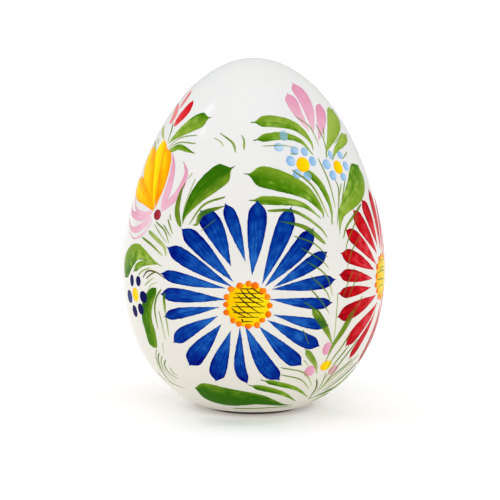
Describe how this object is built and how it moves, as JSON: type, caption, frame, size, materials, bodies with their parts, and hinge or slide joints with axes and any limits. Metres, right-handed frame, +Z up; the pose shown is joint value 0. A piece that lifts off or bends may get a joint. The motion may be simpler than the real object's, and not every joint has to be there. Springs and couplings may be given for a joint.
{
  "type": "decorated ceramic egg",
  "caption": "Hollow glazed ceramic egg on a flat felt-lined foot, with a pull-out cork in its vent hole and hand-painted flowers.",
  "frame": {"origin": "middle of the felt ring's underside, where the egg's axis meets the surface that it stands on", "axes": "+Z up the egg's axis to its tip; -Y faces the viewer, with the blue daisy's centre on that side; +X to the viewer's right"},
  "size_m": [0.09, 0.09, 0.12],
  "materials": {
    "fired_clay": "unglazed cream earthenware, fine matt biscuit",
    "painted_glaze": "glossy white tin glaze with brush-painted flowers fired into it",
    "cork": "natural cork, matt, with small pores",
    "felt": "dark pressed wool felt"
  },
  "bodies": {
    "egg": {"biscuit_body": "fired_clay", "glaze_coat": "painted_glaze", "foot_felt": "felt"},
    "cork": {"vent_cork": "cork"}
  },
  "joints": [
    {"name": "cork_pull", "type": "slide", "parent": "egg", "child": "cork", "axis": [0, 0, -1], "range_m": [0, 0.019]}
  ]
}
